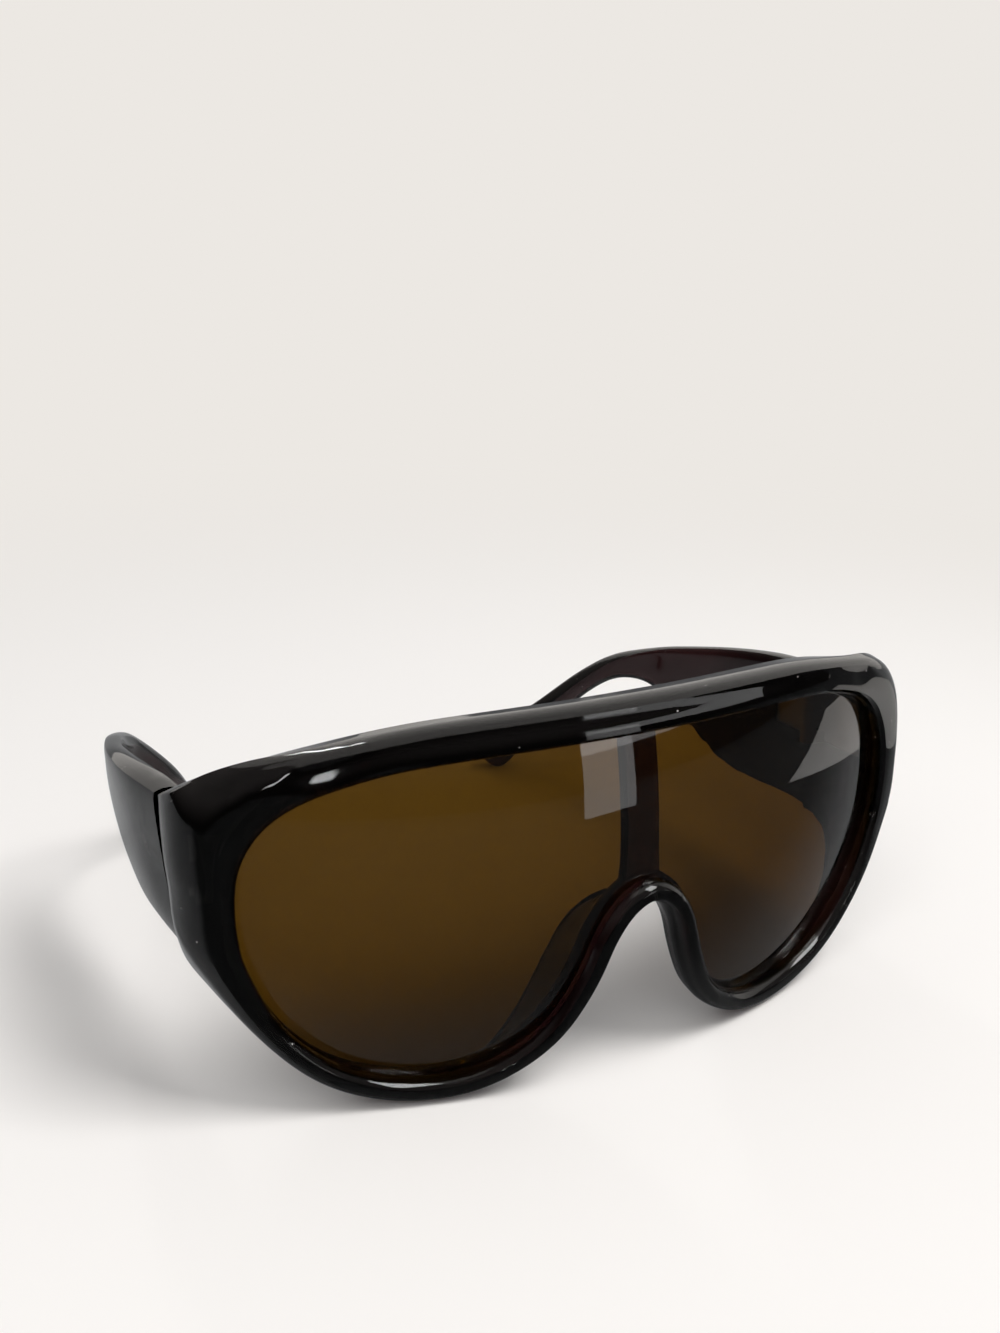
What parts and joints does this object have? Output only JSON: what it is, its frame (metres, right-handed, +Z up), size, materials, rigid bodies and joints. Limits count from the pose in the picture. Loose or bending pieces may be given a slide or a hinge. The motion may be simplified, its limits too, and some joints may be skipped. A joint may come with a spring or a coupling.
{
  "type": "shield sunglasses",
  "caption": "Wraparound shield sunglasses with an amber lens in a glossy plastic front, a bar behind the lens and folding temples that curve in behind the ears.",
  "frame": {"origin": "on the table, under the middle of the box round the open pair", "axes": "+X towards the wearer's left, +Y from the lens back along the temples, +Z up; the lens faces -Y"},
  "size_m": [0.1478, 0.1222, 0.0683],
  "materials": {
    "plum_plastic": "polished, very dark plum, slightly see-through at thin edges",
    "amber_lens": "polished amber-brown tint, see-through",
    "smoke_pad": "moulded smoke-grey, slightly see-through",
    "hinge_metal": "stamped and plated",
    "screw_steel": "turned"
  },
  "bodies": {
    "front": {"front_frame": "plum_plastic", "shield_lens": "amber_lens", "nose_pad_left": "smoke_pad", "nose_pad_right": "smoke_pad", "hinge_front_left": "hinge_metal", "hinge_front_right": "hinge_metal", "hinge_screw_left": "screw_steel", "hinge_screw_right": "screw_steel"},
    "left_temple": {"temple_left": "plum_plastic", "hinge_temple_left": "hinge_metal"},
    "right_temple": {"temple_right": "plum_plastic", "hinge_temple_right": "hinge_metal"}
  },
  "joints": [
    {"name": "left_temple_fold", "type": "hinge", "parent": "front", "child": "left_temple", "pos_m": [0.0637, -0.02273, 0.04232], "axis": [0, 0.0725, 0.9974], "range_deg": [0, 84]},
    {"name": "right_temple_fold", "type": "hinge", "parent": "front", "child": "right_temple", "pos_m": [-0.0637, -0.02273, 0.04232], "axis": [0, -0.0725, -0.9974], "range_deg": [0, 72]}
  ]
}
